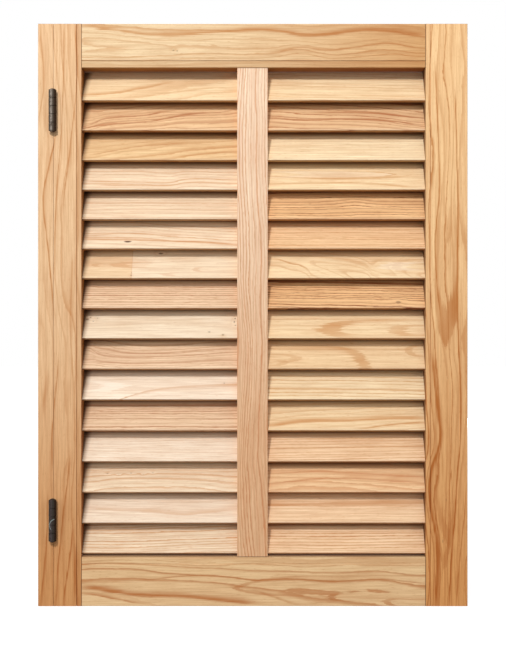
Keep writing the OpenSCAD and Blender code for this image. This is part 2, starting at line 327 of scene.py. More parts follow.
def grainGroup():
    tree = bpy.data.node_groups.new("pineGrain", "ShaderNodeTree")
    sockets = (
        ("INPUT", "NodeSocketVector", ("place", "seed")),
        ("INPUT", "NodeSocketFloat", ("heartAcross", "heartDeep", "leanAcross", "leanDeep", "ring", "wave",
                                      "ripple", "line", "dark", "swell", "drift")),
        ("INPUT", "NodeSocketColor", ("early", "late")),
        ("OUTPUT", "NodeSocketColor", ("colour",)),
        ("OUTPUT", "NodeSocketFloat", ("height", "sway", "jag", "fibre", "cloud", "finger")),
    )
    for way, kind, names in sockets:
        for name in names:
            tree.interface.new_socket(name, in_out=way, socket_type=kind)
    given = tree.nodes.new("NodeGroupInput").outputs
    result = tree.nodes.new("NodeGroupOutput").inputs
    place, seed = given["place"], given["seed"]
    x, y, z = partsOf(tree, place)
    start = partsOf(tree, seed)[0]

    def marks(kind, *fineness):
        return noise(tree, stretched(tree, place, seed, *growth[kind]), *fineness)

    # the trunk's slow bends move the rings about
    bend = partsOf(tree, marks("bend", 1.5).outputs["Color"])
    sway = calc(tree, "MULTIPLY", centred(tree, bend[0]), given["wave"])
    dip = calc(tree, "MULTIPLY", centred(tree, bend[1]), given["wave"])
    heartY = calc(tree, "MULTIPLY_ADD", x, given["leanAcross"], given["heartAcross"])
    heartZ = calc(tree, "MULTIPLY_ADD", x, given["leanDeep"], given["heartDeep"])
    bentY = calc(tree, "ADD", y, calc(tree, "ADD", sway, given["drift"]))
    bentZ = calc(tree, "ADD", z, calc(tree, "ADD", dip, given["swell"]))
    radius = farOff(tree, calc(tree, "SUBTRACT", bentY, heartY), calc(tree, "SUBTRACT", bentZ, heartZ))

    # small shakes and frayed edges, in mm
    shaken = calc(tree, "MULTIPLY", centred(tree, marks("shake").outputs[0]), given["ripple"])
    jag = calc(tree, "MULTIPLY_ADD", centred(tree, marks("fray").outputs[0]), growth["frayDeep"], shaken)

    # ring count, with good and bad years
    count = calc(tree, "DIVIDE", calc(tree, "ADD", radius, jag), given["ring"])
    years = tree.nodes.new("ShaderNodeTexNoise")
    years.noise_dimensions = "1D"
    tree.links.new(calc(tree, "MULTIPLY_ADD", count, growth["yearPace"], start), years.inputs["W"])
    years.inputs["Scale"].default_value = 1
    years.inputs["Detail"].default_value = 1
    count = calc(tree, "MULTIPLY_ADD", centred(tree, years.outputs[0]), growth["yearSpread"], count)
    part = calc(tree, "FRACT", count)
    year = tree.nodes.new("ShaderNodeTexWhiteNoise")
    year.noise_dimensions = "1D"
    tree.links.new(calc(tree, "ADD", calc(tree, "FLOOR", count), start), year.inputs["W"])
    luck = partsOf(tree, year.outputs["Color"])

    # late wood comes in slowly and stops short, more of it in some years and along some fibres
    fibre = marks("fibre", 4, 0.62).outputs[0]
    coming = step(tree, part, calc(tree, "SUBTRACT", growth["lateTop"], given["line"]), growth["lateEnd"])
    staying = calc(tree, "SUBTRACT", 1, step(tree, part, growth["lateEnd"], 1.0))
    late = calc(tree, "MULTIPLY", coming, staying)
    late = calc(tree, "MULTIPLY", late, calc(tree, "MULTIPLY_ADD", luck[0], *growth["byYear"]))
    late = calc(tree, "MULTIPLY", late, calc(tree, "MULTIPLY_ADD", fibre, *growth["byFibre"]))

    # years of darker wood, late wood, cloudy patches and short resin dashes, then fibre streaks over all
    cloud = marks("cloud").outputs[0]
    patch = step(tree, cloud, *growth["cloudEdge"])
    dash = step(tree, marks("dash", 1).outputs[0], *growth["dashEdge"])
    colour = given["early"]
    for mark, strength in ((luck[1], growth["darkYears"]), (late, given["dark"]), (patch, growth["cloudy"]),
                           (dash, growth["dashes"])):
        colour = mixColour(tree, calc(tree, "MULTIPLY", mark, strength), colour, given["late"])
    streak = tree.nodes.new("ShaderNodeCombineXYZ")  # darker fibres are warmer too
    for socket, contrast in zip(streak.inputs, growth["fibreContrast"]):
        feed(tree, socket, calc(tree, "MULTIPLY_ADD", fibre, contrast, 1 - contrast / 2))
    colour = mixColour(tree, 1.0, colour, streak.outputs[0], "MULTIPLY")

    height = calc(tree, "MULTIPLY_ADD", late, growth["ridge"], fibre)
    finger = centred(tree, marks("finger", 3, 0.6).outputs[0])
    results = dict(colour=colour, height=height, sway=sway, jag=jag, fibre=fibre, cloud=cloud, finger=finger)
    for name, value in results.items():
        tree.links.new(value, result[name])
    return tree


grain = grainGroup()


# coordinates fixed to a piece, in mm from its middle: along, across and out of its face
def benchPlace(tree, middle, along, across):
    where = tree.nodes.new("ShaderNodeTexCoord")
    local = tree.nodes.new("ShaderNodeMapping")
    local.vector_type = "TEXTURE"
    outward = Vector(along).cross(Vector(across))
    local.inputs["Location"].default_value = middle
    local.inputs["Rotation"].default_value = Matrix((along, across, outward)).transposed().to_euler()
    local.inputs["Scale"].default_value = (mm, mm, mm)
    tree.links.new(where.outputs["Object"], local.inputs["Vector"])
    return local.outputs[0]


def newMaterial(name):
    material = bpy.data.materials.new(name)
    tree = freshTree(material)
    out = tree.nodes.new("ShaderNodeOutputMaterial")
    skin = tree.nodes.new("ShaderNodeBsdfPrincipled")
    tree.links.new(skin.outputs[0], out.inputs["Surface"])
    return material, tree, skin


def bumped(tree, skin, height, strength, deep):
    bump = tree.nodes.new("ShaderNodeBump")
    bump.inputs["Strength"].default_value = strength
    bump.inputs["Distance"].default_value = deep * mm
    tree.links.new(height, bump.inputs["Height"])
    tree.links.new(bump.outputs[0], skin.inputs["Normal"])


# pointed figures. bend: how soon one widens, as a share of its reach. tip: half width at the very tip in mm.
# fray: how far the tip frays for its thickness, and at most. sway and jag: how much of the board's bends it
# takes. outer and inner: where its edges start and are full. ending: where it is gone and still full, in
# reaches. byCloud and byFibre: how much it varies, and its least
tongueLook = dict(bend=0.35, tip=0.03, fray=2.0, frayMost=44, sway=0.7, jag=0.6, outer=(1.06, 0.94),
                  inner=(0.6, 1.15), ending=(4, 1.5), byCloud=(1.6, 0.2), byFibre=(1.0, 0.5))


# a pointed figure's half width, this far in from its tip
def tongueWidth(tree, inside, half, bend):
    far = calc(tree, "DIVIDE", calc(tree, "MAXIMUM", inside, 0), bend)
    return calc(tree, "MULTIPLY_ADD", calc(tree, "SUBTRACT", 1, fading(tree, far)), half, tongueLook["tip"])


# how strongly a pointed figure shows: one ring's late wood, as long as thick at the tip, thin along the sides
def tongueShare(tree, figure, x, y, tip, acrossAt, half, reach, thick):
    bend = tongueLook["bend"] * abs(reach)
    fray = min(tongueLook["frayMost"], tongueLook["fray"] * thick)
    inside = calc(tree, "MULTIPLY", calc(tree, "SUBTRACT", x, tip), math.copysign(1, reach))
    inside = calc(tree, "MULTIPLY_ADD", figure["finger"], fray, inside)
    deeper = calc(tree, "SUBTRACT", inside, thick)
    off = calc(tree, "SUBTRACT", calc(tree, "MULTIPLY_ADD", figure["sway"], tongueLook["sway"], y), acrossAt)
    off = calc(tree, "ABSOLUTE", calc(tree, "MULTIPLY_ADD", figure["jag"], tongueLook["jag"], off))
    outer = calc(tree, "DIVIDE", off, tongueWidth(tree, inside, half, bend))
    inner = calc(tree, "DIVIDE", off, tongueWidth(tree, deeper, half, bend))
    outer, inner = step(tree, outer, *tongueLook["outer"]), step(tree, inner, *tongueLook["inner"])
    gone, full = (reaches * abs(reach) + thick for reaches in tongueLook["ending"])
    share = calc(tree, "MULTIPLY", outer, inner)
    share = calc(tree, "MULTIPLY", share, step(tree, inside, gone, full))
    share = calc(tree, "MULTIPLY", share, calc(tree, "MULTIPLY_ADD", figure["cloud"], *tongueLook["byCloud"]))
    return calc(tree, "MULTIPLY", share, calc(tree, "MULTIPLY_ADD", figure["fibre"], *tongueLook["byFibre"]))


# dark streaks. fray and breadth: how far one frays, how much its breadth varies and its least, all in its own
# half widths. soft and sharp: how steep its two sides are, one sharper than the other, as late wood is
streakLook = dict(fray=2.5, breadth=(1.6, 0.2), soft=0.8, sharp=2.2, byFibre=(1.0, 0.5))


# how strongly a dark streak shows, this far off its middle
def streakShare(tree, figure, off, wide, strength):
    varied, least = streakLook["breadth"]
    off = calc(tree, "MULTIPLY_ADD", figure["finger"], streakLook["fray"] * wide, off)
    off = calc(tree, "DIVIDE", off, calc(tree, "MULTIPLY_ADD", figure["cloud"], varied * wide, least * wide))
    soft = calc(tree, "MULTIPLY", off, streakLook["soft"])
    sharp = calc(tree, "MULTIPLY", off, -streakLook["sharp"])
    share = calc(tree, "MULTIPLY", bell(tree, calc(tree, "MAXIMUM", soft, sharp)), strength)
    return calc(tree, "MULTIPLY", share, calc(tree, "MULTIPLY_ADD", figure["fibre"], *streakLook["byFibre"]))


# long lines, in mm. longestHalf: a little over half of the longest board. follow: how far off a line the
# rings still follow it. ease: how soon they let go of it. jag: how frayed it is. ending: how slowly it ends
lineLook = dict(longestHalf=320, follow=9.0, ease=0.15, jag=0.7, ending=14)


# where a wandering line lies across the board, from the points that it passes
def wanderingLine(tree, x, points):
    half = lineLook["longestHalf"]
    node = tree.nodes.new("ShaderNodeFloatCurve")
    feed(tree, node.inputs["Value"], calc(tree, "MULTIPLY_ADD", x, 0.5 / half, 0.5))
    spots = [(0.5 + along / 2 / half, 0.5 + across / 2 / half) for along, across in points]
    line = node.mapping.curves[0]
    line.points[0].location = (0, spots[0][1])
    line.points[1].location = (1, spots[-1][1])
    for spot in spots:
        line.points.new(*spot)
    node.mapping.update()
    return calc(tree, "MULTIPLY_ADD", node.outputs[0], 2 * half, -half)


# how far the long lines that run near push the rings aside
def ringDrift(tree, y, lines, routes):
    pull, weight = 0.0, lineLook["ease"]
    for route, (wide, strength, *points) in zip(routes, lines):
        level = sum(across for along, across in points) / len(points)
        near = bell(tree, calc(tree, "DIVIDE", calc(tree, "SUBTRACT", y, route), lineLook["follow"]))
        pull = calc(tree, "MULTIPLY_ADD", near, calc(tree, "SUBTRACT", level, route), pull)
        weight = calc(tree, "ADD", weight, near)
    return calc(tree, "DIVIDE", pull, weight)


# knots and specks. swell: how many half widths the rings bulge round one, and how fast that dies away.
# jag and finger: how ragged it is. edge: where it starts and is full
knotLook = dict(swell=4, dying=0.12, jag=0.5, finger=2.0, edge=(1.15, 0.35))

# how a board wears, and where its painted shade and highlight fall. Pairs: where a mark starts and is full,
# in mm from the place that the board names, or out of its face for highlightOut, underShadeOut and edgeDeep.
# Shares: how strong it is
wearAndShade = dict(spliceEdge=(0.1, -0.1), spliceGlue=(0.6, 0.2), spliceShare=0.35, highlightUp=(3.4, 1.2),
            highlightOut=(0.6, 1.7), highlightShare=0.08, underShadeUp=(0.9, 0.3), underShadeOut=(1.7, 0.9), gapShadeFray=1.5,
            endShadeSlant=-0.15, edge=(-0.6, -0.2), edgeDeep=(12.5, 2.0), groove=(0.6, 0.35), bead=(0.3, 0.7),
            sawn=(-0.3, -0.1), joint=(-0.7, -0.25), jointShare=0.75)


# what glue, sawing and use do to a board's colour, with its painted shade and highlight
def wornAndShaded(tree, look, figure, x, y, z, colour, late):
    if look["splice"] is not None:  # two lengths glued end to end, the first a little browner
        first = stepFrom(tree, x, look["splice"], wearAndShade["spliceEdge"])
        colour = mixColour(tree, first, colour, paint(brownLength), "MULTIPLY")
        off = calc(tree, "ABSOLUTE", calc(tree, "SUBTRACT", x, look["splice"]))
        glue = calc(tree, "MULTIPLY", step(tree, off, *wearAndShade["spliceGlue"]), wearAndShade["spliceShare"])
        colour = mixColour(tree, glue, colour, late)
    # painted shade, darker and warmer towards one end of the board
    if look["warm"]:
        start, end, share = look["warm"]
        falloffShare = calc(tree, "MULTIPLY", step(tree, x, start, end), share)
        colour = mixColour(tree, falloffShare, colour, paint(falloffShade), "MULTIPLY")
    if look["arrisLitAt"] is not None:  # painted highlight along the lower front arris, painted shade on the lower edge
        low = stepFrom(tree, y, look["arrisLitAt"], wearAndShade["highlightUp"])
        highlit = calc(tree, "MULTIPLY", step(tree, z, *wearAndShade["highlightOut"]), low)
        highlit = calc(tree, "MULTIPLY", highlit, wearAndShade["highlightShare"])
        colour = mixColour(tree, highlit, colour, paint(arrisHighlight))
        under = stepFrom(tree, y, look["arrisLitAt"], wearAndShade["underShadeUp"])
        under = calc(tree, "MULTIPLY", step(tree, z, *wearAndShade["underShadeOut"]), under)
        colour = mixColour(tree, under, colour, paint(underShadeTone), "MULTIPLY")
    # painted shade in the gap behind the slat above, ragged along the fibres
    if look["dustyAt"] is not None:
        reach = calc(tree, "SUBTRACT", y, wearAndShade["gapShadeFray"] / 2)
        reach = calc(tree, "MULTIPLY_ADD", figure["fibre"], wearAndShade["gapShadeFray"], reach)
        colour = mixColour(tree, step(tree, reach, *look["dustyAt"]), colour, paint(dust), "MULTIPLY")
    # painted shadow of the stile beside them on the slats' left ends, slanting across them
    if look["endShadeAt"] is not None:
        corner = calc(tree, "MULTIPLY_ADD", y, wearAndShade["endShadeSlant"], x)
        colour = mixColour(tree, step(tree, corner, *look["endShadeAt"]), colour, paint(dust), "MULTIPLY")
    if look["shadedRecess"] is not None:  # painted shade on the edge that faces the slats, darker the deeper it goes
        at, stainAndShade, front = look["shadedRecess"]
        inward = calc(tree, "MULTIPLY", y, math.copysign(1, at))
        edge = stepFrom(tree, inward, abs(at), wearAndShade["edge"])
        deep = calc(tree, "MULTIPLY_ADD", step(tree, z, *wearAndShade["edgeDeep"]), 1 - front, front)
        colour = mixColour(tree, calc(tree, "MULTIPLY", edge, deep), colour, paint(stainAndShade), "MULTIPLY")
    # painted shade in the groove beside the bead, and the bead made browner
    if look["quirk"] is not None:
        at, grooveShare, beadShare = look["quirk"]
        past = calc(tree, "MULTIPLY", calc(tree, "SUBTRACT", y, at), math.copysign(1, at))
        groove = step(tree, calc(tree, "ABSOLUTE", past), *wearAndShade["groove"])
        groove = calc(tree, "MULTIPLY", groove, grooveShare)
        brown = calc(tree, "MULTIPLY_ADD", step(tree, past, *wearAndShade["bead"]), beadShare, groove)
        colour = mixColour(tree, brown, colour, paint(shadeBrown), "MULTIPLY")
    if look["endAt"] is not None:
        sawn = stepFrom(tree, calc(tree, "ABSOLUTE", x), look["endAt"], wearAndShade["sawn"])
        colour = mixColour(tree, sawn, colour, paint(endGrain), "MULTIPLY")
    if look["jointAt"] is not None:  # dark glue line where its ends meet their neighbours
        line = stepFrom(tree, calc(tree, "ABSOLUTE", x), look["jointAt"], wearAndShade["joint"])
        line = calc(tree, "MULTIPLY", line, wearAndShade["jointShare"])
        colour = mixColour(tree, line, colour, paint(glueLine))
    return colour


# clear satin finish, a little smoother on the ridges of late wood
satin = dict(rough=0.84, smoother=0.08, specular=0.2, bump=0.2, bumpDeep=0.1)
seedStep = (7.31, 3.17, 5.93)  # how far apart two boards are cut


# planed pine for one board, cut from its own place in its own tree
def pine(name, look, middle, along, across):
    material, tree, skin = newMaterial(name)
    place = benchPlace(tree, middle, along, across)
    x, y, z = partsOf(tree, place)
    early, late = (paint(code) for code in tones[look["tone"]])
    group = tree.nodes.new("ShaderNodeGroup")
    group.node_tree = grain
    figure = group.outputs
    tree.links.new(place, group.inputs["place"])
    group.inputs["seed"].default_value = [size * look["seed"] for size in seedStep]
    group.inputs["heartAcross"].default_value, group.inputs["heartDeep"].default_value = look["heart"]
    group.inputs["leanAcross"].default_value = look["lean"][0] / 100
    group.inputs["leanDeep"].default_value = look["lean"][1] / 100
    for key in ("ring", "wave", "ripple", "line", "dark"):
        group.inputs[key].default_value = look[key]
    group.inputs["early"].default_value = early
    group.inputs["late"].default_value = late
    colour = figure["colour"]

    # broad streaks of darker wood: height across, half width, slope per 100 mm, strength
    for at, wide, slope, strength in look["bands"]:
        off = calc(tree, "MULTIPLY_ADD", x, -slope / 100, calc(tree, "SUBTRACT", y, at))
        off = calc(tree, "ADD", off, calc(tree, "ADD", figure["sway"], figure["jag"]))
        colour = mixColour(tree, streakShare(tree, figure, off, wide, strength), colour, late)

    # long drawn lines: half width, strength, then the points that they pass, along and across
    routes = [wanderingLine(tree, x, points) for wide, strength, *points in look["drawn"]]
    if routes:
        tree.links.new(ringDrift(tree, y, look["drawn"], routes), group.inputs["drift"])
    for route, (wide, strength, *points) in zip(routes, look["drawn"]):
        off = calc(tree, "MULTIPLY_ADD", figure["jag"], lineLook["jag"], calc(tree, "SUBTRACT", y, route))
        share = streakShare(tree, figure, off, wide, strength)
        fade = lineLook["ending"]
        share = calc(tree, "MULTIPLY", share, stepFrom(tree, x, points[0][0], (-fade, fade)))
        share = calc(tree, "MULTIPLY", share, stepFrom(tree, x, points[-1][0], (fade, -fade)))
        colour = mixColour(tree, share, colour, late)

    # pointed figures: tip along, height across, half width, reach of the bend (its sign says which way it
    # opens), thickness along the grain, strength, where a strength below 0 is paler wood
    for *shape, strength in look["tongues"]:
        share = calc(tree, "MULTIPLY", tongueShare(tree, figure, x, y, *shape), abs(strength))
        colour = mixColour(tree, share, colour, late if strength > 0 else paint(paleFigure))

    # knots and specks: along, across, half width, how many times longer, strength; the rings bulge round them
    swell = 0.0
    for alongAt, acrossAt, size, longer, strength in look["knots"]:
        dx = calc(tree, "DIVIDE", calc(tree, "SUBTRACT", x, alongAt), longer * size)
        dy = calc(tree, "DIVIDE", calc(tree, "SUBTRACT", y, acrossAt), size)
        far = farOff(tree, dx, dy)
        bulge = fading(tree, calc(tree, "MULTIPLY", calc(tree, "MULTIPLY", far, far), knotLook["dying"]))
        swell = calc(tree, "MULTIPLY_ADD", bulge, knotLook["swell"] * size, swell)
        ragged = calc(tree, "MULTIPLY_ADD", figure["jag"], knotLook["jag"], far)
        ragged = calc(tree, "MULTIPLY_ADD", figure["finger"], knotLook["finger"], ragged)
        spot = calc(tree, "MULTIPLY", step(tree, ragged, *knotLook["edge"]), strength)
        colour = mixColour(tree, spot, colour, paint(knotBrown))
    feed(tree, group.inputs["swell"], swell)

    colour = wornAndShaded(tree, look, figure, x, y, z, colour, late)
    tree.links.new(colour, skin.inputs["Base Color"])
    rough = calc(tree, "MULTIPLY_ADD", figure["height"], -satin["smoother"], satin["rough"])
    tree.links.new(rough, skin.inputs["Roughness"])
    skin.inputs["Specular IOR Level"].default_value = satin["specular"]
    bumped(tree, skin, figure["height"], satin["bump"], satin["bumpDeep"])
    return material


def dress(name, material):
    piece = nodes[name]
    piece.data.materials.clear()
    piece.data.materials.append(material)


def plainName(start, name):
    return start + "".join(word.capitalize() for word in name.split("_"))


# the frame's boards; the strip and the hinge stile are cut from one board, so the grain runs on
frameBoards = dict(
    hinge_side=board(tone="honey", ring=7.0, heart=(90, -40), lean=(3.5, 0), wave=26, ripple=1.8, line=0.32,
                     dark=0.45, seed=57, warm=(-60, 320, 1), quirk=(17.8, 0.6, 0.15),
                     drawn=((0.7, 0.8, (-300, 4.5), (-204, 2), (-117, -4), (-40, -6)),
                            (0.8, 0.8, (-300, 16), (-255, 18), (-178, 11), (-113, 3.5)),
                            (0.9, 0.9, (-188, -5), (-160, -11), (-125, -17), (-65, -12), (0, -7)),
                            (0.8, 0.6, (-300, -20.5), (-241, -17), (-204, -22)),
                            (0.6, 0.5, (-300, -3), (-236, -4)),
                            (0.8, 0.6, (-60, 13), (10, 11), (80, 14)),
                            (0.9, 0.8, (150, 10), (218, 2.5), (300, -4)),
                            (1.1, 0.9, (225, 13), (262, 9), (300, 4)),
                            (0.8, 0.8, (50, -2), (122, -8), (160, -8.5)),
                            (2.0, 0.6, (66, -15), (100, -17)),
                            (1.4, 0.7, (245, 16), (298, 15)),
                            (1.1, 0.8, (190, -13), (244, -14.5), (302, -20)))),
    closing_stile=board(tone="gold", ring=6.0, heart=(70, -20), lean=(0.6, 0), wave=22, ripple=1.8,
                        line=0.32, dark=0.75, seed=2, warm=(-180, 330, 1), quirk=(-17.0, 0.3, 0),
                        knots=((193.5, -0.3, 0.8, 4, 0.4), (237, -4, 0.7, 4, 0.35), (66, 1, 0.6, 1.2, 0.4)),
                        drawn=((0.9, 1.0, (-230, 9), (-117, 11.6), (0, 11), (100, 15), (183, 10),
                                (302, 2.6)),
                               (0.9, 0.9, (-256, -12), (-186, -9), (-126, -8), (-82, -12), (-29, -10),
                                (0, -7)),
                               (2.4, 1.0, (44, -15), (105, -9), (131, -7), (165, -17), (192, -18),
                                (240, -10.6), (302, -11)),
                               (0.7, 0.7, (183, 20), (302, 10))),
                        tongues=((33, -0.6, 11.5, -40, 44, 0.6), (28, -0.6, 11.5, -50, 110, 0.12),
                                 (-75, 2, 5, -30, 30, 0.4), (246, 2, 13, -70, 24, 0.35),
                                 (268, -3, 9, -50, 16, 0.35),
                                 (120, -6, 3.4, 60, 8, 0.5), (160, 7, 2.6, 60, 8, 0.5))),
    top_rail=board(tone="straw", ring=5.6, heart=(-70, -25), lean=(-1.5, 0), wave=14, ripple=2.4, line=0.4,
                   dark=0.65, seed=3, warm=(-110, 250, 1), quirk=(-15.8, 0.4, 0.25),
                   drawn=((3.2, 0.8, (-179, 21), (-145, 16), (-110, 11.5), (-77, 11.5), (-20, 15.5),
                           (26, 15.7), (52, 10.5), (75, 11.5), (106, 16), (143, 15.7), (179, 11.5)),
                          (1.2, 0.6, (20, -7), (49, -2), (82, -5), (122, 1), (143, 2.4), (170, -2))),
                   knots=((-84, -4.5, 0.8, 1.6, 0.5), (-80, -5.5, 0.6, 1.4, 0.4))),
    bottom_rail=board(tone="russet", ring=8.5, heart=(-60, -30), lean=(-1.0, 0), wave=16, ripple=2.6,
                      line=0.34, dark=0.7, seed=4, bands=((17, 0.7, 0, 0.5), (20, 0.5, 0, 0.4)),
                      drawn=((3.4, 1.0, (-178, -7), (-152, -9.5), (-118, -14.5), (-81, -16), (-44, -19),
                              (0, -23)),
                             (1.4, 0.8, (-178, -13), (-149, -17), (-120, -23)),
                             (0.9, 0.7, (-118, 1), (-76, 5), (-44, 6), (-4, 1.5), (36, 2.4), (88, 0),
                              (132, 2.4), (178, -2)),
                             (1.4, 0.5, (-4, -9), (23, -17), (46, -24))),
                      tongues=((77, -16, 4, 10, 8, 0.8), (135, -20, 4, 12, 8, 0.6),
                               (-24, -5, 12, 90, 9, 0.5))),
    mullion=board(tone="pink", ring=3.0, heart=(75, -10), lean=(1.2, 0), wave=20, ripple=2.0, line=0.5,
                  dark=0.75, seed=5, warm=(-230, 200, 0.75)),
)

# the slats from the top down
leftSlats = [
    board(tone="straw", ring=6, heart=(10, -55), lean=(6, 0), wave=6, dark=0.4, seed=11,
          drawn=((1.8, 0.7, (-79, -11.6), (-44, -9), (-26, -4.5), (-9, -1), (10, 4.5)),
                 (1.0, 0.4, (-20, -14), (20, -8), (60, -2)))),
    board(tone="tan", ring=4.2, heart=(60, -30), lean=(5, 0), wave=18, ripple=3.0, line=0.5, dark=0.6,
          seed=12, dustyAt=(10.2, 17.2),
          drawn=((1.3, 0.8, (-79, -16), (-60, -12.5), (-26, -9), (0, -5.5), (26, 1), (50, 3)),
                 (1.1, 0.8, (-75, -11), (-60, -4.5), (-44, -2), (-20, 0), (8, 5)))),
    board(tone="ochre", ring=4.6, heart=(50, -40), lean=(7, 0), wave=12, ripple=2.4, dark=0.5, seed=13,
          drawn=((1.0, 0.6, (-70, -12), (-47, -6.5), (-26, -2), (0, 0.5), (26, 3)),
                 (1.2, 0.5, (14, -15.5), (35, -12.5), (78, -8)))),
    board(tone="blush", ring=3.8, heart=(-60, -20), lean=(-1, 0), wave=7, ripple=1.8, line=0.35, dark=0.6,
          seed=14,
          drawn=((0.8, 0.8, (-76, -8.5), (-26, -9.7), (14, -9.7), (22, -7), (78, -7)),
                 (0.7, 0.6, (-60, -13.5), (0, -14), (17, -13), (25, -10.5), (78, -11)))),
    board(tone="blush", ring=3.4, heart=(60, -10), wave=5, dark=0.6, seed=15, dustyAt=(8.0, 15.2),
          bands=((0, 0.9, -2, 0.3),)),
    board(tone="blush", ring=4.2, heart=(-55, -20), lean=(-4, 0), wave=6, line=0.35, dark=0.8, seed=16,
          dustyAt=(10.0, 17.0),
          knots=((-34, -10.5, 1.1, 3.8, 0.95),),
          drawn=((1.0, 0.95, (-79, -8), (-35, -8.5), (8, -10), (43, -11), (78, -13.5)),
                 (0.7, 0.5, (-79, -3.5), (-30, 0), (20, -3)))),
    board(tone="blush", ring=8, heart=(0, -70), wave=8, dark=0.3, seed=17, dustyAt=(10.0, 17.0),
          splice=-29.7,
          knots=((0, 11, 1.5, 1.8, 0.8), (-30, -15.5, 0.8, 1.2, 0.9), (-29.8, -12.5, 0.4, 1.2, 0.6)),
          tongues=((-50, -3, 3.6, 8, 20, 0.45), (-72, -4, 2.4, 6, 7, 0.35), (2, -14, 2.2, 8, 12, 0.35),
                   (32, -8, 3, 8, 7, 0.35))),
    board(tone="rose", ring=2.5, heart=(70, -6), wave=2.5, ripple=0.8, line=0.45, dark=0.95, seed=18),
    board(tone="ivory", ring=7, heart=(20, -70), wave=8, dark=0.45, seed=19,
          knots=((-77.5, 3.4, 1.3, 1.7, 0.6), (-74.2, 5.6, 0.8, 1.4, 0.55), (-71, 1.2, 0.7, 1.8, 0.4),
                 (-67, 4.6, 0.6, 1.6, 0.4), (79.2, 4.5, 0.9, 1.2, 0.65), (78.4, 0.6, 1.2, 0.9, 0.6),
                 (79.4, -3.8, 0.8, 1.0, 0.6), (52, -11.6, 0.9, 1.7, 0.5), (66.5, -15, 1.0, 1.4, 0.55))),
    board(tone="rose", ring=2.9, heart=(50, -10), lean=(-2, 0), wave=8, ripple=2.0, line=0.4, dark=0.55,
          seed=20,
          drawn=((0.7, 0.55, (-76, 5), (-65, -2), (-44, -5.5), (0, -5), (30, -3.5), (78, 0)),
                 (0.7, 0.55, (-60, 5), (-40, 0), (0, -1), (40, 2.5), (78, 5)),
                 (0.6, 0.5, (-78, -10), (-44, -12.5), (0, -12), (78, -8)))),
    board(tone="cream", ring=7, heart=(20, -70), wave=5, dark=0.25, seed=21,
          knots=((67.6, -0.1, 0.7, 1.1, 0.7),),
          tongues=((-42, -18.7, 18.5, 115, 3, 0.9), (-36, -4, 6, -26, 22, -0.6))),
    board(tone="rose", ring=3.4, heart=(70, -12), wave=6, ripple=1.8, line=0.45, dark=0.85, seed=22),
    board(tone="cream", ring=2.4, heart=(60, -12), lean=(-2, 0), wave=5, line=0.4, dark=0.7, seed=23),
    board(tone="blush", ring=3.4, heart=(-40, -40), wave=9, ripple=1.6, dark=0.65, seed=24,
          drawn=((0.9, 0.5, (-72, -8), (-50, -4.5), (0, -4.5), (40, -6), (78, -10)),),
          knots=((-56, 1.5, 0.7, 2.0, 0.35), (-44, 0, 0.6, 2.2, 0.3), (-31, 2, 0.7, 2.2, 0.35),
                 (-18, 0.5, 0.6, 2, 0.3), (-8, 2.5, 0.6, 2.2, 0.3))),
    board(tone="cream", ring=6, heart=(60, -30), wave=5, dark=0.25, seed=25, dustyAt=(8.2, 15.4),
          drawn=((2.2, 0.6, (-79, -3), (-44, -5.5), (-9, -7), (26, -10), (50, -7.5), (78, -5)),)),
    board(tone="blush", ring=2.8, heart=(-55, -20), lean=(3, 0), wave=7, ripple=1.6, dark=0.95, seed=26,
          dustyAt=(8.0, 15.2)),
]
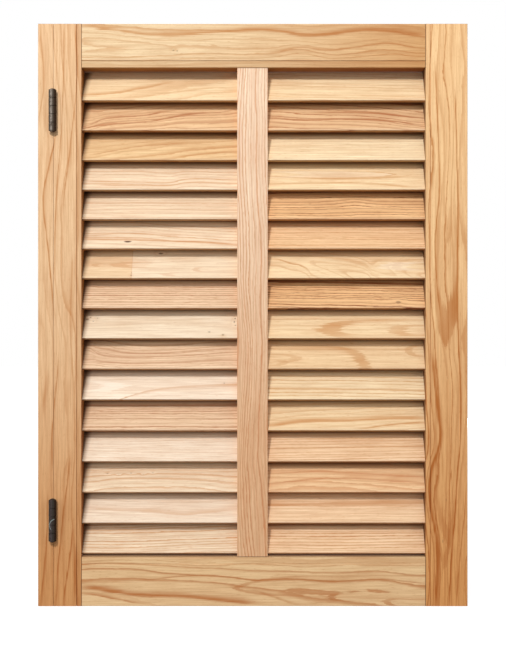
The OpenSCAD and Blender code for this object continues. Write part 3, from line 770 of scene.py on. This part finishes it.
rightSlats = [
    board(tone="straw", ring=4, heart=(60, -25), lean=(-3, 0), wave=5, line=0.4, dark=0.5, seed=31),
    board(tone="tan", ring=4.6, heart=(60, -20), lean=(-2, 0), wave=14, ripple=2.4, line=0.36, dark=0.9,
          seed=32, dustyAt=(10.2, 17.2),
          drawn=((1.1, 0.9, (-80, -3), (-50, -5.5), (0, -4.5), (40, -6), (80, -12)),
                 (1.0, 0.8, (-30, 4), (30, 3), (80, -3)))),
    board(tone="butter", ring=4, heart=(-50, -20), wave=4, line=0.4, dark=0.35, seed=33),
    board(tone="straw", ring=7, heart=(-4, -60), wave=6, dark=0.6, seed=34,
          drawn=((1.1, 0.6, (-80, -2.5), (-30, -5), (20, -5), (60, -3)),
                 (1.4, 0.6, (-80, -12), (0, -10.5), (30, -12), (70, -16))),
          tongues=((48, -0.2, 4.2, -45, 90, -0.2), (54, -0.2, 5.2, -50, 5, 0.45))),
    board(tone="amber", ring=3.2, heart=(65, -10), wave=8, ripple=2.2, line=0.42, dark=1.0, seed=35,
          knots=((9, 2, 2.6, 1.9, 0),)),
    board(tone="honey", ring=2.5, heart=(60, -12), wave=4, line=0.45, dark=0.7, seed=36),
    board(tone="straw", ring=5, heart=(60, -30), wave=6, line=0.4, dark=0.35, seed=37,
          drawn=((1.0, 0.85, (-72, 4), (-60, -0.7), (-47, -4), (-40, -9), (-37, -14)),
                 (2.4, 0.4, (-5, 3), (12, -1), (22, -6), (28, -14))),
          tongues=((48, -4, 9, 14, 10, 0.25), (34, -4, 5, 16, 30, -0.25))),
    board(tone="amber", ring=3.0, heart=(55, -10), lean=(-3, 0), wave=9, ripple=2.2, line=0.5, dark=1.0,
          seed=38,
          knots=((55, -12, 1.7, 1.5, 0.5),)),
    board(tone="straw", ring=6, heart=(60, -30), wave=6, line=0.4, dark=0.3, seed=39,
          tongues=((-31, -8, 11, 34, 24, 0.55), (44, -10, 7, 18, 18, 0.42))),
    board(tone="oat", ring=6, heart=(60, -30), wave=6, line=0.4, dark=0.3, seed=40,
          tongues=((26, -17, 25, -28, 12, 0.55), (-45, -7, 5, -20, 12, 0.4), (-60, -12, 4, -14, 10, 0.35),
                   (62, 2, 7, 12, 8, 0.5))),
    board(tone="butter", ring=4.6, heart=(70, -10), lean=(-1.5, 0), wave=4, line=0.36, dark=0.95, seed=41),
    board(tone="straw", ring=5, heart=(60, -20), lean=(3, 0), wave=4, line=0.4, dark=0.4, seed=42,
          drawn=((2.2, 0.8, (-82, -14), (-47, -9.5), (5, -8), (40, -6), (82, -5)),
                 (1.3, 0.9, (15, -17), (49, -12.5), (82, -10)))),
    board(tone="apricot", ring=3.4, heart=(70, -10), lean=(2, 0), wave=3, line=0.4, dark=0.75, seed=43,
          dustyAt=(8.0, 15.2)),
    board(tone="copper", ring=5.0, heart=(-35, -40), wave=16, ripple=2.6, line=0.75, dark=0.6, seed=44,
          dustyAt=(7.0, 14.2),
          drawn=((1.4, 0.6, (-70, -8), (-40, -5.5), (10, -4.5), (50, -7), (82, -9)),
                 (1.2, 0.5, (-82, 1), (-25, 3.5), (40, 0), (82, -2)))),
    board(tone="apricot", ring=4, heart=(60, -20), wave=4, line=0.4, dark=0.5, seed=45,
          bands=((1.5, 2.4, 2, 0.6),)),
    board(tone="apricot", ring=2.9, heart=(-60, -10), wave=4, line=0.42, dark=1.0, seed=46,
          dustyAt=(6.8, 14.0)),
]

# painted shade on the edges that face the slats: its colour, and how much of it shows at the front
innerEdgeShade = dict(hinge_side=(shadeBrown, 0.7), closing_stile=(dust, 0.5), top_rail=(shadeBrown, 0.8),
                  bottom_rail=(dust, 0.5))

# how the slats stand: lean in degrees, half their width in mm, and where painted shade darkens them across
# and along
slatCut = dict(lean=28, half=18.7, dustyAt=(9.0, 16.0), endShadeAt=(-73.5, -81.5))


def middleOf(low, high):
    return (low + high) / 2


def dressWood():
    right, up, down = (1, 0, 0), (0, 0, 1), (0, 0, -1)
    sideMiddle = middleOf(panelLow, leafHigh)
    look = dict(frameBoards["hinge_side"])
    look["shadedRecess"] = ((leafHigh.x - sideMiddle.x) / mm, *innerEdgeShade["hinge_side"])
    look["endAt"] = (leafHigh.z - sideMiddle.z) / mm
    hingeSide = pine("pineHingeSide", look, sideMiddle, down, right)
    dress("hanging_strip", hingeSide)
    dress("hinge_stile", hingeSide)
    for name, along, across in (("closing_stile", down, right), ("mullion", down, right),
                                ("top_rail", right, up), ("bottom_rail", right, up)):
        low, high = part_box(name)
        look = dict(frameBoards[name])
        if name == "closing_stile":
            look["shadedRecess"] = ((low.x - high.x) / 2 / mm, *innerEdgeShade[name])
            look["endAt"] = (high.z - low.z) / 2 / mm
        else:
            look["jointAt"] = max(high - low) / 2 / mm
        if name == "top_rail":
            look["shadedRecess"] = ((low.z - high.z) / 2 / mm, *innerEdgeShade[name])
        if name == "bottom_rail":
            look["shadedRecess"] = ((high.z - low.z) / 2 / mm, *innerEdgeShade[name])
        dress(name, pine(plainName("pine", name), look, middleOf(low, high), along, across))
    lean = math.radians(slatCut["lean"])
    climb = (0, math.sin(lean), math.cos(lean))
    for side, looks in (("left", leftSlats), ("right", rightSlats)):
        for row, look in enumerate(looks, 1):
            name = f"slat_{side}_{row:02d}"
            look = {**look, "arrisLitAt": -slatCut["half"]}
            if row > 1:  # the first slat has none above it
                look["dustyAt"] = look["dustyAt"] or slatCut["dustyAt"]
            if side == "left":
                look["endShadeAt"] = slatCut["endShadeAt"]
            dress(name, pine(plainName("pine", name), look, middleOf(*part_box(name)), right, climb))
    dowel = board(tone="beech", ring=1.6, heart=(30, -10), wave=2, dark=0.4, seed=6)
    for name, along, across in (("corner_dowels", right, up), ("mullion_dowels", down, right)):
        dress(name, pine(plainName("beech", name), dowel, middleOf(*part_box(name)), along, across))


dressWood()
print("timber dressed:", len(leftSlats) + len(rightSlats), "slats, the frame and the dowels")


# dark bronze with a painted highlight down the front left and painted shade at the barrel's sides; the lower
# hinge is
# darker and has one curved bright scratch: its middle along and across, and its radius, in mm from the pin's
# middle
# edge: the colour of the painted shade at the barrel's sides
hingeLooks = dict(
    upper=dict(skin="43382d", worn="aca094", edge="2a1608", rub=0.75, patch=2.2, scratch=None, seed=3),
    lower=dict(skin="332c25", worn="5d5054", edge="241206", rub=0.5, patch=3.0, scratch=(4.4, 3.9, 6.5),
               seed=8),
)
# what both share. stripe: how far left of the pin the painted highlight lies, and its half width, in mm.
# broken: where blotches break it up. dirt: where painted shade at the barrel's sides starts and is full,
# and dirtLeft how far left its middle lies. Pairs of pitShade and rough: how much the pits change it, and its
# least
barrel = dict(stripe=(1.2, 1.25), broken=(0.3, 0.62), dirtLeft=0.4, dirt=(2.0, 3.4), sideShadeShare=0.85,
              pits=(0.8, 0.5), pitShade=(0.7, 0.65), rough=(0.25, 0.34), metallic=0.35, specular=0.15,
              blotchHigh=1.6, bump=0.3, bumpDeep=0.12)
scratchLook = dict(colour="98a39f", edge=(0.5, 0.15), alongEnd=(4.8, 3.4), acrossEnd=(-1.0, -1.7), share=0.8)


def scratched(tree, x, y, scratch, colour):
    alongAt, acrossAt, radius = scratch
    dx = calc(tree, "SUBTRACT", x, alongAt)
    dy = calc(tree, "SUBTRACT", y, acrossAt)
    off = calc(tree, "ABSOLUTE", calc(tree, "SUBTRACT", farOff(tree, dx, dy), radius))
    line = step(tree, off, *scratchLook["edge"])
    line = calc(tree, "MULTIPLY", line, step(tree, dx, *scratchLook["alongEnd"]))
    line = calc(tree, "MULTIPLY", line, step(tree, dy, *scratchLook["acrossEnd"]))
    return mixColour(tree, calc(tree, "MULTIPLY", line, scratchLook["share"]), colour,
                     paint(scratchLook["colour"]))


def agedBronze(name, look, middle):
    material, tree, skin = newMaterial(name)
    place = benchPlace(tree, middle, (0, 0, -1), (1, 0, 0))
    x, y = partsOf(tree, place)[:2]
    seed = tree.nodes.new("ShaderNodeCombineXYZ")
    seed.inputs[0].default_value = look["seed"]
    patches = stretched(tree, place, seed.outputs[0], look["patch"], look["patch"] / 2)
    blotch = noise(tree, patches, 3, 0.6).outputs[0]
    pits = noise(tree, stretched(tree, place, seed.outputs[0], *barrel["pits"])).outputs[0]

    # the painted highlight stripe, broken up by the blotches, and painted shade where the barrel turns away
    left, half = barrel["stripe"]
    highlit = bell(tree, calc(tree, "DIVIDE", calc(tree, "ADD", y, left), half))
    broken = calc(tree, "MULTIPLY", step(tree, blotch, *barrel["broken"]), look["rub"])
    highlit = calc(tree, "MULTIPLY", highlit, broken)
    colour = mixColour(tree, highlit, paint(look["skin"]), paint(look["worn"]))
    off = calc(tree, "ABSOLUTE", calc(tree, "ADD", y, barrel["dirtLeft"]))
    dirt = calc(tree, "MULTIPLY", step(tree, off, *barrel["dirt"]), barrel["sideShadeShare"])
    colour = mixColour(tree, dirt, colour, paint(look["edge"]))
    colour = shaded(tree, colour, calc(tree, "MULTIPLY_ADD", pits, *barrel["pitShade"]))
    if look["scratch"]:
        colour = scratched(tree, x, y, look["scratch"], colour)
    tree.links.new(colour, skin.inputs["Base Color"])
    skin.inputs["Metallic"].default_value = barrel["metallic"]
    skin.inputs["Specular IOR Level"].default_value = barrel["specular"]
    tree.links.new(calc(tree, "MULTIPLY_ADD", pits, *barrel["rough"]), skin.inputs["Roughness"])
    height = calc(tree, "MULTIPLY_ADD", blotch, barrel["blotchHigh"], pits)
    bumped(tree, skin, height, barrel["bump"], barrel["bumpDeep"])
    return material


# dull brass, stained in small spots
screwLook = dict(bright="b98f4e", dull="6d5330", grain=0.8, rough=0.42, roughSpread=0.2, bump=0.3,
                 bumpDeep=0.05)


def dullBrass():
    material, tree, skin = newMaterial("dullBrass")
    place = benchPlace(tree, panelMid, (1, 0, 0), (0, 0, 1))
    seed = tree.nodes.new("ShaderNodeCombineXYZ")
    spots = stretched(tree, place, seed.outputs[0], screwLook["grain"], screwLook["grain"])
    stainAndShade = noise(tree, spots, 3).outputs[0]
    colour = mixColour(tree, stainAndShade, paint(screwLook["bright"]), paint(screwLook["dull"]))
    tree.links.new(colour, skin.inputs["Base Color"])
    skin.inputs["Metallic"].default_value = 1.0
    smoothest = screwLook["rough"] - screwLook["roughSpread"] / 2
    rough = calc(tree, "MULTIPLY_ADD", stainAndShade, screwLook["roughSpread"], smoothest)
    tree.links.new(rough, skin.inputs["Roughness"])
    bumped(tree, skin, stainAndShade, screwLook["bump"], screwLook["bumpDeep"])
    return material


def dressMetal():
    for end, look in hingeLooks.items():
        bronze = agedBronze(end + "Bronze", look, middleOf(*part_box(end + "_hinge_pin")))
        for part in ("frame_plate", "leaf_plate", "pin"):
            dress(f"{end}_hinge_{part}", bronze)
    brass = dullBrass()
    dress("frame_hinge_screws", brass)
    dress("leaf_hinge_screws", brass)


dressMetal()
print("hinges and screws dressed")
